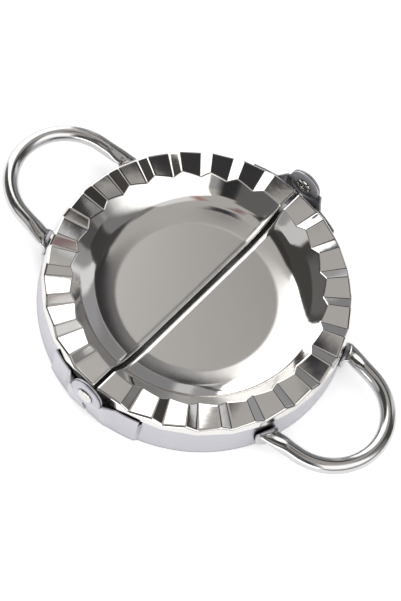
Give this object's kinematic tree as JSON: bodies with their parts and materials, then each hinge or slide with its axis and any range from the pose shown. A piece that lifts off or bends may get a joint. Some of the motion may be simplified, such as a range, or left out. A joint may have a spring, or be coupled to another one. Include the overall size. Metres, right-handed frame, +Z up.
{
  "type": "empanada press",
  "caption": "Folding stainless steel empanada and dumpling press with a round toothed rim, cutting edge and two loop handles, lying open",
  "frame": {"origin": "Centre of the circle that the cutting edges of the open press form, on the surface it stands on.", "axes": "+Z up, with the bowl open upward. X runs along the hinge line and Y along the two handles. The rear half is at +Y and the front half at -Y."},
  "size_m": [0.1046, 0.1506, 0.0203],
  "materials": {
    "plate_steel": "mirror polished stainless sheet, satin on the bowl floor",
    "band_steel": "bright rolled stainless sheet",
    "handle_steel": "mirror polished stainless tube",
    "rivet_steel": "bright stainless, plain"
  },
  "bodies": {
    "rear_half": {"press_plate_rear": "plate_steel", "cutter_band_rear": "band_steel", "handle_rear": "handle_steel", "hinge_rivet_left": "rivet_steel", "hinge_rivet_right": "rivet_steel"},
    "front_half": {"press_plate_front": "plate_steel", "cutter_band_front": "band_steel", "handle_front": "handle_steel"}
  },
  "joints": [
    {"name": "fold_hinge", "type": "hinge", "parent": "rear_half", "child": "front_half", "pos_m": [0, 0, 0.0147], "axis": [-1, 0, 0], "range_deg": [0, 180]}
  ]
}
